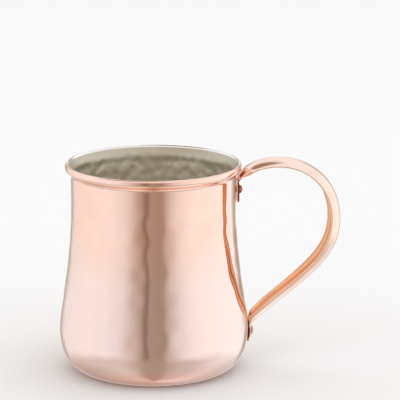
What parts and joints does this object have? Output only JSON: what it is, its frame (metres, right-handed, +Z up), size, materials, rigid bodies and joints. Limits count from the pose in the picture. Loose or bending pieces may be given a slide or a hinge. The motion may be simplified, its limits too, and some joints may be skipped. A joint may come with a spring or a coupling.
{
  "type": "copper mug",
  "caption": "Hammered copper mug with a flared rolled rim, full belly, silver-coloured lining and a channelled strap handle riveted to the wall.",
  "frame": {"origin": "on the cup's axis at the underside of its flat base", "axes": "+Z up the cup's axis, +X from the axis towards the handle, +Y across the handle"},
  "size_m": [0.1319, 0.0886, 0.0995],
  "materials": {
    "copper_body": "polished, lightly hammered copper",
    "lining": "satin, lightly hammered silver-coloured lining",
    "copper_strap": "smooth polished copper",
    "copper_rivet": "set copper rivet"
  },
  "bodies": {
    "root": {"cup_shell": "copper_body", "inner_lining": "lining", "handle_strap": "copper_strap", "upper_rivet": "copper_rivet", "lower_rivet": "copper_rivet"}
  },
  "joints": []
}
